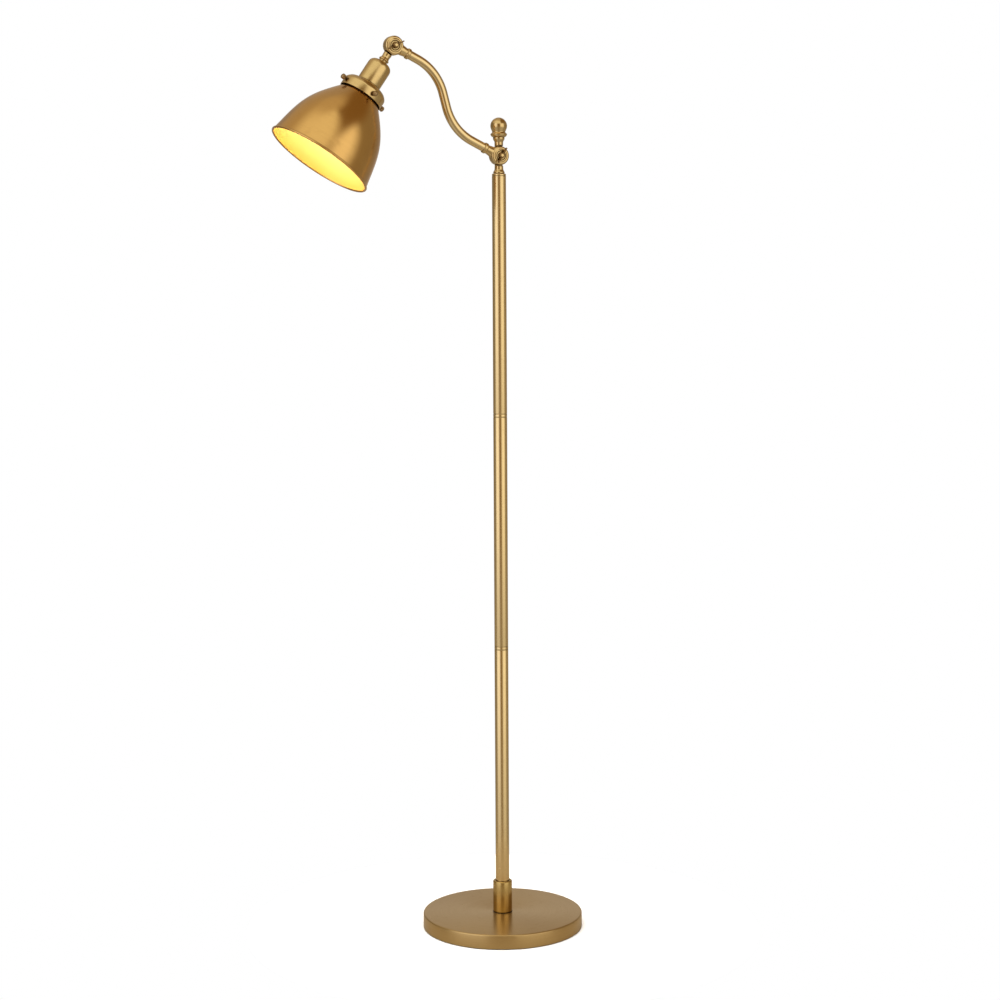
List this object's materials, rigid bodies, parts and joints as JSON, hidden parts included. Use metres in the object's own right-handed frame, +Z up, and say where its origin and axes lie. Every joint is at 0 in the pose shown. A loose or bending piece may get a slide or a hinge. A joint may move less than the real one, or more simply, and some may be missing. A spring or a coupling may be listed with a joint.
{
  "type": "floor lamp",
  "caption": "Pharmacy floor lamp: round weighted base, jointed column, swan-neck arm on a wing-nut knuckle, and a tilting dome shade in satin antique brass",
  "frame": {"origin": "centre of the base's underside, on the floor", "axes": "+Z up along the column; the arm reaches along -X; the wing nuts face -Y"},
  "size_m": [0.5394, 0.28, 1.5401],
  "materials": {
    "base_brass": "satin, lathe-turned antique brass",
    "tube_brass": "satin antique brass, brushed along the tube",
    "satin_brass": "satin antique brass, turned",
    "polished_brass": "semi-polished antique brass",
    "shade_brass": "coppery aged brass outside, pale gold lacquer inside",
    "dark_brass": "darkened antique brass",
    "cast_iron": "as cast, black primer",
    "zinc_steel": "zinc plated",
    "black_foam": "matte foam",
    "black_rubber": "moulded",
    "fibre": "vulcanised fibre",
    "porcelain": "glazed",
    "nickel": "nickel-plated bulb cap",
    "bulb_glass": "frosted",
    "lead_sheath": "gold-tinted lead"
  },
  "bodies": {
    "stand": {"base_pad": "black_foam", "base_weight": "cast_iron", "base_cover": "base_brass", "base_collar": "satin_brass", "cord_gland": "black_rubber", "threaded_rod": "zinc_steel", "rod_nut": "zinc_steel", "rod_washer": "zinc_steel", "column_plug": "zinc_steel", "lower_tube": "tube_brass", "lower_coupler": "tube_brass", "middle_tube": "tube_brass", "upper_coupler": "tube_brass", "upper_tube": "tube_brass", "column_cap": "tube_brass", "column_lead": "lead_sheath", "stem_knuckle": "polished_brass", "finial": "polished_brass", "lower_friction_washer": "fibre", "lower_knuckle_screw": "polished_brass", "lower_boss_washer": "polished_brass"},
    "arm": {"arm_knuckle_lower": "polished_brass", "arm_tube": "tube_brass", "arm_knuckle_upper": "polished_brass", "arm_lead": "lead_sheath"},
    "head": {"head_knuckle": "polished_brass", "upper_friction_washer": "fibre", "upper_knuckle_screw": "polished_brass", "upper_boss_washer": "polished_brass", "cup_nipple": "zinc_steel", "socket_cup": "satin_brass", "cup_nut": "zinc_steel", "lampholder": "porcelain", "screw_shell": "polished_brass", "centre_contact": "polished_brass", "fitter": "satin_brass", "fitter_ring_nut": "satin_brass", "shade": "shade_brass", "bulb_cap": "nickel", "bulb_glass": "bulb_glass"},
    "lower_wing_nut_body": {"lower_wing_nut": "polished_brass"},
    "upper_wing_nut_body": {"upper_wing_nut": "polished_brass"},
    "thumb_screw_1_body": {"thumb_screw_1": "dark_brass"},
    "thumb_screw_2_body": {"thumb_screw_2": "dark_brass"},
    "thumb_screw_3_body": {"thumb_screw_3": "dark_brass"},
    "thumb_screw_4_body": {"thumb_screw_4": "dark_brass"}
  },
  "joints": [
    {"name": "arm_tilt", "type": "hinge", "parent": "stand", "child": "arm", "pos_m": [0, 0, 1.3465], "axis": [0, 1, 0], "range_deg": [-45, 5]},
    {"name": "head_tilt", "type": "hinge", "parent": "arm", "child": "head", "pos_m": [-0.18937, 0, 1.52407], "axis": [0, 1, 0], "range_deg": [-42, 75]},
    {"name": "lower_wing_nut_turn", "type": "hinge", "parent": "stand", "child": "lower_wing_nut_body", "pos_m": [0, 0, 1.3465], "axis": [0, -1, 0], "range_deg": [0, 270]},
    {"name": "upper_wing_nut_turn", "type": "hinge", "parent": "head", "child": "upper_wing_nut_body", "pos_m": [-0.18937, 0, 1.52407], "axis": [0, -1, 0], "range_deg": [0, 270]},
    {"name": "thumb_screw_1_turn", "type": "hinge", "parent": "head", "child": "thumb_screw_1_body", "pos_m": [-0.23816, -0.04144, 1.44165], "axis": [0.1422, -0.9848, -0.0996], "range_deg": [0, 330]},
    {"name": "thumb_screw_2_turn", "type": "hinge", "parent": "head", "child": "thumb_screw_2_body", "pos_m": [-0.2102, 0.00731, 1.42207], "axis": [0.8067, 0.1736, -0.5649], "range_deg": [0, 330]},
    {"name": "thumb_screw_3_turn", "type": "hinge", "parent": "head", "child": "thumb_screw_3_body", "pos_m": [-0.25013, 0.04144, 1.45003], "axis": [-0.1422, 0.9848, 0.0996], "range_deg": [0, 330]},
    {"name": "thumb_screw_4_turn", "type": "hinge", "parent": "head", "child": "thumb_screw_4_body", "pos_m": [-0.27809, -0.00731, 1.46961], "axis": [-0.8067, -0.1736, 0.5649], "range_deg": [0, 330]}
  ]
}
